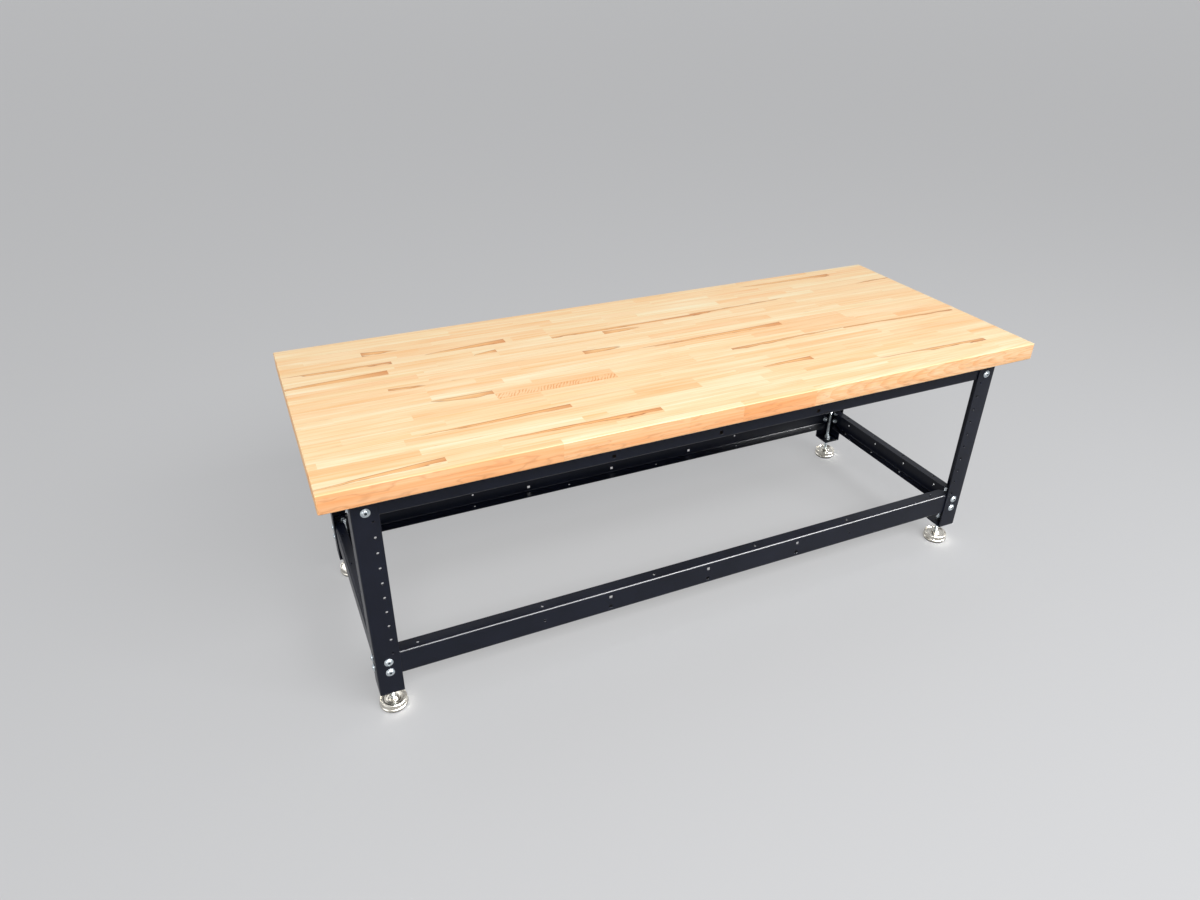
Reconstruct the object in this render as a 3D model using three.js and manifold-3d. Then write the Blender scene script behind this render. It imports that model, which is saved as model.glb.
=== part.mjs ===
// Assembly table: a butcher-block top on a bolted sheet-steel frame with levelling feet.
// Millimetres, +Z up, origin on the floor under the centre of the top, front of the table at -Y.
import * as THREE from 'three';
import { mergeVertices } from 'three/addons/utils/BufferGeometryUtils.js';
import Module from 'manifold-3d';

const wasm = await Module();
wasm.setup();
const { Manifold, Mesh } = wasm;

// Driving dimensions
const TOP_LENGTH = 1828.8;
const TOP_WIDTH = 711.2;
const TOP_THICK = 44.45;
const TOP_HEIGHT = 653.2;
const TOP_EASE = 3;

const FRAME_HALF_LENGTH = 853;
const FRAME_FRONT_Y = -306.5;
const FRAME_BACK_Y = 294.5;

const LEG_FACE = 56;
const LEG_SHEET = 3;
const LEG_BEND = 5.5;
const LEG_BOTTOM = 64;

const RAIL_SHEET = 2.5;
const RAIL_BEND = 5.2;
const RAIL_HEIGHT = 63.2;
const LONG_FLANGE = 34;
const SHORT_FLANGE = 26;
const LOWER_BOTTOM = 112.3;
const WEB_END_GAP = 9;
const CLIP_BEYOND_FLANGE = 21;

const PUNCH_DIAMETER = 6;
const PUNCH_SIDES = 6;
const LONG_PUNCH_DEPTH = 17;
const SHORT_PUNCH_DEPTH = 10.8;
const LONG_PUNCHES = [-752, -451.2, -150.4, 150.4, 451.2, 752];
const LONG_WEB_PUNCHES = [-451.2, 451.2];
const SHORT_PUNCHES = [-200.4, -66.8, 66.8, 200.4];
const STATIONS = [-277, 0, 277];
const STATION_HOLE = 8.5;
const LEG_PUNCH_FROM_CORNER = 41.8;
const LEG_PUNCH_LOWEST = 180.3;
const LEG_PUNCH_PITCH = 39.47;
const LEG_PUNCH_COUNT = 10;

const BOLT_FROM_CORNER = 29.3;
const BOLT_HEIGHTS = { top: 560.5, mid: 158, low: 128 };
const BOLT_HOLE = 9.4;
const BOLT_SHANK = 8;
const BOLT_LENGTH = 16;
const BOLT_SOCKET = 6;
const NUT_ACROSS_FLATS = 13;
const NUT_HEIGHT = 6.2;

const STUD_FROM_CORNER = 30.5;
const STUD_DIAMETER = 10;
const STUD_HOLE = 10.4;
const STUD_BOTTOM = 16.3;
const STUD_TOP = 178;
const STUD_FLATS = 8;
const PLATE_THICK = 4;
const JAM_ACROSS_FLATS = 16;
const JAM_HEIGHT = 8;
const PAD_RADIUS = 30.5;
const PAD_THICK = 3.2;
const GAP = 0.3;

const UNDERSIDE = TOP_HEIGHT - TOP_THICK;
const LEG_TOP = UNDERSIDE - GAP;
const UPPER_BOTTOM = LEG_TOP - RAIL_HEIGHT;
const FRAME_MID_Y = (FRAME_FRONT_Y + FRAME_BACK_Y) / 2;
const FRAME_HALF_WIDTH = (FRAME_BACK_Y - FRAME_FRONT_Y) / 2;
const WEB_FACE = LEG_SHEET + GAP;

// Materials, with colours read from the photo
const maple = { color: 0xdeb98c, roughness: 0.5, metalness: 0 };
const powderCoat = { color: 0x2c2e35, roughness: 0.45, metalness: 0.1 };
const zinc = { color: 0xc6ccd2, roughness: 0.35, metalness: 0.9 };
const plated = { color: 0xcdc6b6, roughness: 0.25, metalness: 0.95 };
const rubber = { color: 0x1e1e20, roughness: 0.85, metalness: 0 };

// A geometry as a closed solid, ready for cuts and joins
function toSolid(geometry) {
  const flat = geometry.index ? geometry.toNonIndexed() : geometry;
  const bare = new THREE.BufferGeometry();
  bare.setAttribute('position', flat.getAttribute('position'));
  const joined = mergeVertices(bare, 1e-4);
  const corners = joined.index.array;
  const kept = [];
  for (let i = 0; i < corners.length; i += 3) {
    const [a, b, c] = [corners[i], corners[i + 1], corners[i + 2]];
    if (a !== b && b !== c && c !== a) kept.push(a, b, c);
  }
  const vertProperties = new Float32Array(joined.getAttribute('position').array);
  return new Manifold(new Mesh({ numProp: 3, vertProperties, triVerts: new Uint32Array(kept) }));
}

// A solid back as a three.js geometry
function toGeometry(solid) {
  const mesh = solid.getMesh();
  const geometry = new THREE.BufferGeometry();
  geometry.setAttribute('position', new THREE.BufferAttribute(new Float32Array(mesh.vertProperties), 3));
  geometry.setIndex(new THREE.BufferAttribute(new Uint32Array(mesh.triVerts), 1));
  const flat = geometry.toNonIndexed();
  flat.computeVertexNormals();
  return flat;
}

const cut = (body, tools) => toGeometry(toSolid(body).subtract(Manifold.union(tools.map(toSolid))));
const join = (pieces) => toGeometry(Manifold.union(pieces.map(toSolid)));

// Round tools along each axis, and a plain block
function rodAlongY(diameter, length, sides, at) {
  return new THREE.CylinderGeometry(diameter / 2, diameter / 2, length, sides).translate(...at);
}

function rodAlongX(diameter, length, sides, at) {
  const rod = new THREE.CylinderGeometry(diameter / 2, diameter / 2, length, sides);
  return rod.rotateZ(Math.PI / 2).translate(...at);
}

function rodAlongZ(diameter, length, sides, at) {
  const rod = new THREE.CylinderGeometry(diameter / 2, diameter / 2, length, sides);
  return rod.rotateX(Math.PI / 2).translate(...at);
}

function block(size, at) {
  return new THREE.BoxGeometry(...size).translate(...at);
}

// A turned piece about Z from its half profile
function turned(profile, sides) {
  const points = profile.map(([r, z]) => new THREE.Vector2(r, z));
  return new THREE.LatheGeometry(points, sides).rotateX(Math.PI / 2);
}

function part(name, geometry, look, parent) {
  const mesh = new THREE.Mesh(geometry, new THREE.MeshStandardMaterial(look));
  mesh.name = name;
  parent.add(mesh);
  return mesh;
}

// Bent L section of a leg, corner at the origin, faces along +X and +Y
function legGeometry() {
  const inner = LEG_BEND - LEG_SHEET;
  const shape = new THREE.Shape();
  shape.moveTo(LEG_FACE, 0);
  shape.lineTo(LEG_FACE, LEG_SHEET);
  shape.lineTo(LEG_BEND, LEG_SHEET);
  shape.absarc(LEG_BEND, LEG_BEND, inner, -Math.PI / 2, -Math.PI, true);
  shape.lineTo(LEG_SHEET, LEG_FACE);
  shape.lineTo(0, LEG_FACE);
  shape.lineTo(0, LEG_BEND);
  shape.absarc(LEG_BEND, LEG_BEND, LEG_BEND, Math.PI, 1.5 * Math.PI, false);
  const length = LEG_TOP - LEG_BOTTOM;
  const body = new THREE.ExtrudeGeometry(shape, { depth: length, bevelEnabled: false, curveSegments: 4 });
  body.translate(0, 0, LEG_BOTTOM);
  const tools = [];
  const deep = LEG_SHEET * 4;
  for (let i = 0; i < LEG_PUNCH_COUNT; i++) {
    const z = LEG_PUNCH_LOWEST + i * LEG_PUNCH_PITCH;
    tools.push(rodAlongY(PUNCH_DIAMETER, deep, PUNCH_SIDES, [LEG_PUNCH_FROM_CORNER, 0, z]));
    tools.push(rodAlongX(PUNCH_DIAMETER, deep, PUNCH_SIDES, [0, LEG_PUNCH_FROM_CORNER, z]));
  }
  for (const z of Object.values(BOLT_HEIGHTS)) {
    tools.push(rodAlongY(BOLT_HOLE, deep, 8, [BOLT_FROM_CORNER, 0, z]));
    tools.push(rodAlongX(BOLT_HOLE, deep, 8, [0, BOLT_FROM_CORNER, z]));
  }
  return cut(body, tools);
}

// Bent C section lying along X, outer face of its web at y = 0, open towards +Y, bottom at z = 0
function channelBody(halfLength, far) {
  const inner = RAIL_BEND - RAIL_SHEET;
  const bend = RAIL_BEND;
  const height = RAIL_HEIGHT;
  const shape = new THREE.Shape();
  shape.moveTo(far, 0);
  shape.lineTo(far, RAIL_SHEET);
  shape.lineTo(bend, RAIL_SHEET);
  shape.absarc(bend, bend, inner, -Math.PI / 2, -Math.PI, true);
  shape.lineTo(RAIL_SHEET, height - bend);
  shape.absarc(bend, height - bend, inner, Math.PI, Math.PI / 2, true);
  shape.lineTo(far, height - RAIL_SHEET);
  shape.lineTo(far, height);
  shape.lineTo(bend, height);
  shape.absarc(bend, height - bend, bend, Math.PI / 2, Math.PI, false);
  shape.lineTo(0, bend);
  shape.absarc(bend, bend, bend, Math.PI, 1.5 * Math.PI, false);
  const length = halfLength * 2;
  const body = new THREE.ExtrudeGeometry(shape, { depth: length, bevelEnabled: false, curveSegments: 4 });
  const turn = new THREE.Matrix4().makeBasis(
    new THREE.Vector3(0, 1, 0), new THREE.Vector3(0, 0, 1), new THREE.Vector3(1, 0, 0));
  return body.applyMatrix4(turn).translate(-halfLength, 0, 0);
}

// Wedges that clip both flanges at both ends, clear of the foot's stud
function endClips(outerHalf, flange) {
  const start = outerHalf - flange - CLIP_BEYOND_FLANGE;
  const lip = RAIL_BEND;
  const run = flange - lip;
  return [-1, 1].map((side) => {
    const wedge = new THREE.Shape();
    wedge.moveTo(side * (start - 10), flange + 10);
    wedge.lineTo(side * (start + run), lip);
    wedge.lineTo(side * (outerHalf + 10), lip);
    wedge.lineTo(side * (outerHalf + 10), flange + 10);
    const options = { depth: RAIL_HEIGHT + 20, bevelEnabled: false };
    return new THREE.ExtrudeGeometry(wedge, options).translate(0, 0, -10);
  });
}

// A lower stringer or upper rail with its punched holes, bolt holes and clipped ends
function railGeometry(long, outerHalf, bottom, boltKeys, rows) {
  const flange = long ? LONG_FLANGE : SHORT_FLANGE;
  const body = channelBody(outerHalf - WEB_END_GAP, flange);
  const tools = endClips(outerHalf, flange);
  const deep = RAIL_SHEET * 4;
  const punchDepth = long ? LONG_PUNCH_DEPTH : SHORT_PUNCH_DEPTH;
  const flangeHole = (x, z) => rodAlongZ(PUNCH_DIAMETER, deep, PUNCH_SIDES, [x, punchDepth, z]);
  for (const x of long ? LONG_PUNCHES : SHORT_PUNCHES) {
    if (rows.top) tools.push(flangeHole(x, RAIL_HEIGHT));
    if (rows.base) tools.push(flangeHole(x, 0));
  }
  if (rows.web) {
    for (const x of long ? LONG_WEB_PUNCHES : SHORT_PUNCHES) {
      tools.push(rodAlongY(PUNCH_DIAMETER, deep, PUNCH_SIDES, [x, 0, RAIL_HEIGHT / 2]));
    }
  }
  for (const x of long ? STATIONS : []) {
    for (const key of boltKeys) {
      tools.push(block([STATION_HOLE, deep, STATION_HOLE], [x, 0, BOLT_HEIGHTS[key] - bottom]));
    }
  }
  for (const side of [-1, 1]) {
    for (const key of boltKeys) {
      const x = side * (outerHalf - BOLT_FROM_CORNER);
      tools.push(rodAlongY(BOLT_HOLE, deep, 8, [x, 0, BOLT_HEIGHTS[key] - bottom]));
    }
  }
  return cut(body, tools);
}

// Button-head flange bolt pointing along +Y, leg face at y = 0, with its nut behind the web
function boltGeometry() {
  const hex = (across, height) => {
    const radius = across / Math.sqrt(3);
    return new THREE.CylinderGeometry(radius, radius, height, 6);
  };
  const profile = [[0, 4.6], [4.8, 4.6], [7.2, 2.2], [10.1, 1.6], [10.1, GAP], [0, GAP]];
  const points = profile.map(([r, out]) => new THREE.Vector2(r, -out));
  const socket = hex(BOLT_SOCKET, 5).translate(0, -4.6, 0);
  const head = cut(new THREE.LatheGeometry(points, 8), [socket]);
  const nutStart = WEB_FACE + RAIL_SHEET + GAP;
  return join([
    head,
    rodAlongY(BOLT_SHANK, BOLT_LENGTH + 1, 6, [0, BOLT_LENGTH / 2 - 0.5, 0]),
    hex(NUT_ACROSS_FLATS, NUT_HEIGHT).translate(0, nutStart + NUT_HEIGHT / 2, 0),
  ]);
}

// Foot base: grooved rim, dished face, and a hub with a socket for the stud
function baseGeometry() {
  const bottom = PAD_THICK + GAP;
  return turned([
    [0, bottom], [31.6, bottom], [33, bottom + 1.5], [33, 9.2], [31.2, 10.8], [31.8, 12.6],
    [31.8, 20.6], [30.2, 22.4], [28.6, 22.2], [27, 18.4], [11.6, 19.4], [11.6, 24.2],
    [9.6, 26.2], [STUD_HOLE / 2, 26.2], [STUD_HOLE / 2, 16], [0, 16],
  ], 16);
}

function padGeometry() {
  return turned([[0, 0], [PAD_RADIUS - 1, 0], [PAD_RADIUS, 1], [PAD_RADIUS, PAD_THICK], [0, PAD_THICK]], 16);
}

// Stud with a pair of spanner flats above the hub and a slot in its end
function studGeometry() {
  const length = STUD_TOP - STUD_BOTTOM;
  const body = rodAlongZ(STUD_DIAMETER, length, 12, [0, 0, STUD_BOTTOM + length / 2]);
  const reach = STUD_FLATS / 2 + 5;
  return cut(body, [
    block([10, 20, 9], [reach, 0, 38]),
    block([10, 20, 9], [-reach, 0, 38]),
    block([1.8, 20, 6], [0, 0, STUD_TOP]),
  ]);
}

function jamNutGeometry() {
  const radius = JAM_ACROSS_FLATS / Math.sqrt(3);
  const nut = new THREE.CylinderGeometry(radius, radius, JAM_HEIGHT, 6).rotateX(Math.PI / 2);
  const z = LEG_BOTTOM + PLATE_THICK + GAP + JAM_HEIGHT / 2;
  return cut(nut.translate(0, 0, z), [rodAlongZ(STUD_HOLE, 30, 12, [0, 0, z])]);
}

// Square plate in the bottom of the leg, its inner corner cut clear of the bend
function plateGeometry() {
  const near = LEG_SHEET + GAP;
  const shape = new THREE.Shape();
  shape.moveTo(near + 3, near);
  shape.lineTo(LEG_FACE, near);
  shape.lineTo(LEG_FACE, LEG_FACE);
  shape.lineTo(near, LEG_FACE);
  shape.lineTo(near, near + 3);
  const hole = new THREE.Path();
  hole.absarc(STUD_FROM_CORNER, STUD_FROM_CORNER, STUD_HOLE / 2, 0, 2 * Math.PI, true);
  shape.holes.push(hole);
  const options = { depth: PLATE_THICK, bevelEnabled: false, curveSegments: 8 };
  const plate = new THREE.ExtrudeGeometry(shape, options);
  return plate.translate(0, 0, LEG_BOTTOM);
}

// Butcher-block top with eased edges and corners
function topGeometry() {
  const x = TOP_LENGTH / 2 - TOP_EASE;
  const y = TOP_WIDTH / 2 - TOP_EASE;
  const shape = new THREE.Shape();
  shape.moveTo(-x, -y);
  shape.lineTo(x, -y);
  shape.lineTo(x, y);
  shape.lineTo(-x, y);
  const slab = new THREE.ExtrudeGeometry(shape, {
    depth: TOP_THICK - 2 * TOP_EASE,
    bevelEnabled: true,
    bevelThickness: TOP_EASE,
    bevelSize: TOP_EASE,
    bevelSegments: 3,
  });
  return slab.translate(0, 0, UNDERSIDE + TOP_EASE);
}

const table = new THREE.Group();
part('butcher_block_top', topGeometry(), maple, table);

// Rails: each side of the frame is a group turned to face inwards
const sides = [
  { key: 'front', at: [0, FRAME_FRONT_Y], turn: 0, half: FRAME_HALF_LENGTH, long: true },
  { key: 'right', at: [FRAME_HALF_LENGTH, FRAME_MID_Y], turn: 1, half: FRAME_HALF_WIDTH, long: false },
  { key: 'back', at: [0, FRAME_BACK_Y], turn: 2, half: FRAME_HALF_LENGTH, long: true },
  { key: 'left', at: [-FRAME_HALF_LENGTH, FRAME_MID_Y], turn: 3, half: FRAME_HALF_WIDTH, long: false },
];
for (const { key, at, turn, half, long } of sides) {
  const side = new THREE.Group();
  side.position.set(at[0], at[1], 0);
  side.rotation.z = turn * Math.PI / 2;
  table.add(side);
  const lower = railGeometry(long, half, LOWER_BOTTOM, ['mid', 'low'], { top: true, web: true, base: true });
  const upper = railGeometry(long, half, UPPER_BOTTOM, ['top'], { top: true });
  part(`lower_stringer_${key}`, lower, powderCoat, side).position.set(0, WEB_FACE, LOWER_BOTTOM);
  part(`upper_rail_${key}`, upper, powderCoat, side).position.set(0, WEB_FACE, UPPER_BOTTOM);
}

// Corners: leg, foot plate, bolts and foot, in a group turned to face inwards
const corners = [
  { key: 'front_left', x: -1, y: FRAME_FRONT_Y, turn: 0 },
  { key: 'front_right', x: 1, y: FRAME_FRONT_Y, turn: 1 },
  { key: 'back_right', x: 1, y: FRAME_BACK_Y, turn: 2 },
  { key: 'back_left', x: -1, y: FRAME_BACK_Y, turn: 3 },
];
for (const { key, x, y, turn } of corners) {
  const corner = new THREE.Group();
  corner.position.set(x * FRAME_HALF_LENGTH, y, 0);
  corner.rotation.z = turn * Math.PI / 2;
  table.add(corner);
  part(`leg_${key}`, legGeometry(), powderCoat, corner);
  part(`foot_plate_${key}`, plateGeometry(), powderCoat, corner);
  for (const [place, z] of Object.entries(BOLT_HEIGHTS)) {
    part(`bolt_${key}_a_${place}`, boltGeometry(), zinc, corner).position.set(BOLT_FROM_CORNER, 0, z);
    const other = part(`bolt_${key}_b_${place}`, boltGeometry(), zinc, corner);
    other.position.set(0, BOLT_FROM_CORNER, z);
    other.rotation.z = -Math.PI / 2;
  }
  const foot = new THREE.Group();
  foot.position.set(STUD_FROM_CORNER, STUD_FROM_CORNER, 0);
  corner.add(foot);
  part(`foot_base_${key}`, baseGeometry(), plated, foot);
  part(`foot_pad_${key}`, padGeometry(), rubber, foot);
  part(`foot_stud_${key}`, studGeometry(), zinc, foot);
  part(`foot_nut_${key}`, jamNutGeometry(), zinc, foot);
}

export default table;
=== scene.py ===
# %% [markdown]
# # An assembly table
# A long, low workshop table: a glued maple top on a bolted frame of bent, black sheet steel that
# stands on four screw feet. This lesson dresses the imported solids. Each piece is made again with
# fine edges at the size and place of its solid, and gets a material for what it is really made of.

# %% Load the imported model
import math
import random

import bmesh
import bpy
from mathutils import Matrix, Vector


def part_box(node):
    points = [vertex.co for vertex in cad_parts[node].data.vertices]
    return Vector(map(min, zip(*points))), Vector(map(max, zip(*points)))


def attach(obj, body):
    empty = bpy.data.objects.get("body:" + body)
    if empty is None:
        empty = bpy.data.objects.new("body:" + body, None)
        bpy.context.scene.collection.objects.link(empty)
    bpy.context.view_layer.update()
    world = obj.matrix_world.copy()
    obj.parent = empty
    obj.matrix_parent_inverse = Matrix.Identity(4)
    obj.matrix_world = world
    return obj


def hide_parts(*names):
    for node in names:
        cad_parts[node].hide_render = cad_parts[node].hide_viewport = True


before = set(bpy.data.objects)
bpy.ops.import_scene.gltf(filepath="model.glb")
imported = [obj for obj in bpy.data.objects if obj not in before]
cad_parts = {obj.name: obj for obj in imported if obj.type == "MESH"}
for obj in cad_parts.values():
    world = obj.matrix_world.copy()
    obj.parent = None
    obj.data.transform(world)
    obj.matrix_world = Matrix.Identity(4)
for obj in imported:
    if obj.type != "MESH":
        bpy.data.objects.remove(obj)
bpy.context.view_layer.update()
MM = 0.001

# %% [markdown]
# ## Camera
# The photograph was taken with a wide lens from just left of the table's left end, at about
# eye height. The place, the three angles and the focal length were worked out
# from the corners of the top, the legs and the feet, so the picture lines up with the solids.

# %% Set the camera
CAMERA_PLACE_MM = (-973.83, -1749.55, 1518.47)
CAMERA_TURN_DEG = (59.5984, -0.5876, -24.2428)
CAMERA_FOCAL_PIXELS = 842.96
IMAGE_WIDTH_PIXELS = 1200
SENSOR_MM = 36.0
NEAREST_M = 0.05
FARTHEST_M = 200

camera_data = bpy.data.cameras.new("photo_camera")
camera_data.sensor_width = SENSOR_MM
camera_data.lens = CAMERA_FOCAL_PIXELS / IMAGE_WIDTH_PIXELS * SENSOR_MM
camera_data.clip_start = NEAREST_M
camera_data.clip_end = FARTHEST_M
camera = bpy.data.objects.new("photo_camera", camera_data)
bpy.context.scene.collection.objects.link(camera)
camera.location = Vector(CAMERA_PLACE_MM) * MM
camera.rotation_euler = [math.radians(a) for a in CAMERA_TURN_DEG]
bpy.context.scene.camera = camera
print("lens mm:", round(camera_data.lens, 2))

# %% [markdown]
# ## Helpers for materials
# Colours are written as the hex values that a paint card would show. Blender computes with linear
# light, so one function converts them. An input of a node takes a plain value or a link from another
# node, and a second function sets either. A third adds a node with its settings and links, and gives
# a colour ramp its stops.

# %% Material helpers
def linear(hex_colour):
    parts = [int(hex_colour[i:i + 2], 16) / 255 for i in (1, 3, 5)]
    curve = [c / 12.92 if c <= 0.04045 else ((c + 0.055) / 1.055) ** 2.4 for c in parts]
    return (*curve, 1.0)


def connect(tree, node, inputs):
    for key, value in inputs.items():
        if isinstance(value, bpy.types.NodeSocket):
            tree.links.new(value, node.inputs[key])
        else:
            node.inputs[key].default_value = value


def add(tree, kind, inputs=None, stops=(), **settings):
    made = tree.nodes.new(kind)
    for key, value in settings.items():
        setattr(made, key, value)
    connect(tree, made, inputs or {})
    for position, _ in stops[1:-1]:
        made.color_ramp.elements.new(position)
    for number, (position, hex_colour) in enumerate(stops):
        made.color_ramp.elements[number].position = position
        made.color_ramp.elements[number].color = linear(hex_colour)
    return made


def start_material(name):
    material = bpy.data.materials.new(name)
    material.use_nodes = True
    tree = material.node_tree
    return material, tree, tree.nodes["Principled BSDF"]


print("grey check:", round(linear("#808080")[0], 3))

# %% [markdown]
# ## Black powder coat
# The frame is sprayed with dry polyester powder and baked. The skin flows but never quite levels,
# so it has a faint orange peel of about 1.5 mm and a satin gloss. It is a cool near-black. A slow
# cloud in the roughness keeps long faces from looking computed, and a little lighter dust colour
# breaks up the black. The peel scatters part of the gloss, so the specular level is low. Noise in
# three dimensions needs no picture of paint and has no seams at the bends.

# %% Powder coat material
PEEL_MM = 1.5
PEEL_DEPTH_MM = 0.15
CLOUD_MM = 120
COAT_IOR = 1.5
COAT_SPECULAR = 0.2

powder_coat, tree, coat = start_material("black_polyester_powder_coat")
place = add(tree, "ShaderNodeTexCoord").outputs["Object"]
peel = add(tree, "ShaderNodeTexNoise", {"Vector": place, "Scale": 1 / (PEEL_MM * MM), "Detail": 1})
cloud = add(tree, "ShaderNodeTexNoise", {"Vector": place, "Scale": 1 / (CLOUD_MM * MM), "Detail": 5})
tint = add(tree, "ShaderNodeValToRGB", {"Fac": cloud.outputs["Fac"]}, ((0.3, "#0b0f1b"), (0.75, "#121624")))
gloss = add(tree, "ShaderNodeMapRange", {"Value": cloud.outputs["Fac"], "To Min": 0.3, "To Max": 0.4})
bumps = add(tree, "ShaderNodeBump", {
    "Height": peel.outputs["Fac"], "Strength": 0.12, "Distance": PEEL_DEPTH_MM * MM,
})
connect(tree, coat, {
    "Base Color": tint.outputs["Color"], "Roughness": gloss.outputs["Result"],
    "Normal": bumps.outputs["Normal"], "IOR": COAT_IOR, "Specular IOR Level": COAT_SPECULAR,
})
print("made", powder_coat.name)

# %% [markdown]
# ## Bright zinc plate
# The bolts, nuts and studs are steel with a bright zinc plate and a clear blue passivation. It is a
# bluish white metal with small cloudy patches where the bath touched it unevenly.

# %% Zinc material
PATCH_MM = 6

zinc, tree, plate = start_material("bright_zinc_plate")
place = add(tree, "ShaderNodeTexCoord").outputs["Object"]
patch = add(tree, "ShaderNodeTexNoise", {"Vector": place, "Scale": 1 / (PATCH_MM * MM), "Detail": 4})
tint = add(tree, "ShaderNodeValToRGB", {"Fac": patch.outputs["Fac"]}, ((0.35, "#b9c3c9"), (0.7, "#dbe0e2")))
gloss = add(tree, "ShaderNodeMapRange", {"Value": patch.outputs["Fac"], "To Min": 0.22, "To Max": 0.38})
connect(tree, plate, {
    "Base Color": tint.outputs["Color"], "Roughness": gloss.outputs["Result"], "Metallic": 1.0,
})
print("made", zinc.name)

# %% [markdown]
# ## Dull zinc and painted shade in a socket
# Little zinc reaches the bottom of a deep socket, so the steel there is duller and rougher. Its
# mottled dark grey is also painted shade that stands for the shadow in the hollow, so a second
# material on the faces of the socket makes a bolt head read as hollow.

# %% Dull zinc and painted socket shade material
SOCKET_MOTTLE_MM = 1.5

dull_zinc_and_painted_shade, tree, recess = start_material("dull_zinc_with_painted_socket_shade")
place = add(tree, "ShaderNodeTexCoord").outputs["Object"]
socket_mottle = add(tree, "ShaderNodeTexNoise", {"Vector": place, "Scale": 1 / (SOCKET_MOTTLE_MM * MM)})
# The dark greys are dull plating with painted shade, the shadow deep in the socket
tint = add(tree, "ShaderNodeValToRGB", {"Fac": socket_mottle.outputs["Fac"]}, ((0, "#3c4145"), (1, "#5d6468")))
connect(tree, recess, {"Base Color": tint.outputs["Color"], "Metallic": 1.0, "Roughness": 0.5})
print("made", dull_zinc_and_painted_shade.name)

# %% [markdown]
# ## Turned and nickel-plated steel
# The foot bases are turned on a lathe and then plated with nickel, a warm silver. The tool leaves
# fine rings around the axis. Real ones are about 0.2 mm apart, which no render would show, so they
# are drawn nearly 6 mm apart. The rings follow each base's own axis, so the pattern is in object
# space and every base is built around its own origin.

# %% Nickel material
# Blender's wave texture repeats at this length of its own space
WAVE_TURN = 2 * math.pi / 20
TOOL_RING_MM = 5.655
RING_DEPTH_MM = 0.1
SMEAR_MM = 14

nickel, tree, turned_steel = start_material("turned_nickel_plated_steel")
place = add(tree, "ShaderNodeTexCoord").outputs["Object"]
rings = add(tree, "ShaderNodeTexWave", {
    "Vector": place, "Scale": WAVE_TURN / (TOOL_RING_MM * MM), "Distortion": 0.4,
}, wave_type="RINGS", rings_direction="Z")
smear = add(tree, "ShaderNodeTexNoise", {"Vector": place, "Scale": 1 / (SMEAR_MM * MM)})
tint = add(tree, "ShaderNodeValToRGB", {"Fac": smear.outputs["Fac"]}, ((0.3, "#b3afa5"), (0.7, "#d6d2c9")))
gloss = add(tree, "ShaderNodeMapRange", {"Value": rings.outputs["Fac"], "To Min": 0.16, "To Max": 0.3})
cuts = add(tree, "ShaderNodeBump", {
    "Height": rings.outputs["Fac"], "Strength": 0.1, "Distance": RING_DEPTH_MM * MM,
})
connect(tree, turned_steel, {
    "Base Color": tint.outputs["Color"], "Roughness": gloss.outputs["Result"],
    "Normal": cuts.outputs["Normal"], "Metallic": 1.0,
})
print("made", nickel.name)

# %% [markdown]
# ## Moulded rubber
# A disc of black rubber is pressed into the bottom of each foot. Moulded rubber is matt and a
# little grey with dust.

# %% Rubber material
DUST_MM = 3

rubber, tree, soft = start_material("moulded_nitrile_rubber")
place = add(tree, "ShaderNodeTexCoord").outputs["Object"]
dust = add(tree, "ShaderNodeTexNoise", {"Vector": place, "Scale": 1 / (DUST_MM * MM)})
tint = add(tree, "ShaderNodeValToRGB", {"Fac": dust.outputs["Fac"]}, ((0, "#161617"), (1, "#2b2b2b")))
connect(tree, soft, {"Base Color": tint.outputs["Color"], "Roughness": 0.8})
print("made", rubber.name)

# %% [markdown]
# ## Hard maple staves
# The top is edge-glued from narrow maple strips, and each strip is made of short lengths butted end
# to end. Every length was sawn from another place in another log, so each has its own tone and its
# own growth rings. The mesh will carry those facts: `log_place` tells where in its log a point lay.
# Noise that is stretched along the log gives fibres, flecks and soft bands. One pattern of rings
# around the log gives straight lines on one length and arches on another, just as a saw does. Real
# rings are 2 mm apart; they are drawn at 5 mm so that a render can show them. In one length the
# fibres curl, and a slanted wave draws the short strokes that this gives.

# %% Maple grain patterns
RING_SPACING_MM = 5
RING_STRETCH = 16
STROKE_SLANT_DEG = 28
STROKE_SPACING_MM = 7
# Size across the grain in mm, how many times longer it is along the log and across it, detail
GRAIN = {
    "fibre": (4.0, 80, 1, 5), "fleck": (1.3, 8, 1, 2), "band": (15, 20, 1, 3), "cloud": (60, 3.3, 1, 2),
    "patch": (22, 1.6, 1, 2), "sway": (9, 11, 5, 2),
}
# What the mesh tells about a place on it
FACTS = (
    "log_place", "tone", "warmth", "curl", "arch", "streak_mm", "streak_run_mm", "long_edge", "end_grain",
)

maple, tree, wood = start_material("edge_glued_hard_maple")
fact = {name: add(tree, "ShaderNodeAttribute", attribute_name=name) for name in FACTS}
in_log = fact["log_place"].outputs["Vector"]
grain = {}
for name, (size_mm, along, across, detail) in GRAIN.items():
    stretched = add(tree, "ShaderNodeMapping", {"Vector": in_log, "Scale": (along, across, 1)},
                    vector_type="TEXTURE")
    noise = add(tree, "ShaderNodeTexNoise", {
        "Vector": stretched.outputs["Vector"], "Scale": 1 / (size_mm * MM), "Detail": detail,
    })
    grain[name] = noise.outputs["Fac"]
stretched = add(tree, "ShaderNodeMapping", {"Vector": in_log, "Scale": (RING_STRETCH, 1, 1)},
                vector_type="TEXTURE")
rings = add(tree, "ShaderNodeTexWave", {
    "Vector": stretched.outputs["Vector"], "Scale": WAVE_TURN / (RING_SPACING_MM * MM),
    "Distortion": 1.5, "Detail": 2,
}, wave_type="RINGS", rings_direction="X", wave_profile="SAW")
grain["rings"] = rings.outputs["Fac"]
slanted = add(tree, "ShaderNodeMapping", {
    "Vector": in_log, "Rotation": (0, 0, math.radians(-STROKE_SLANT_DEG)),
}, vector_type="TEXTURE")
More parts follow.
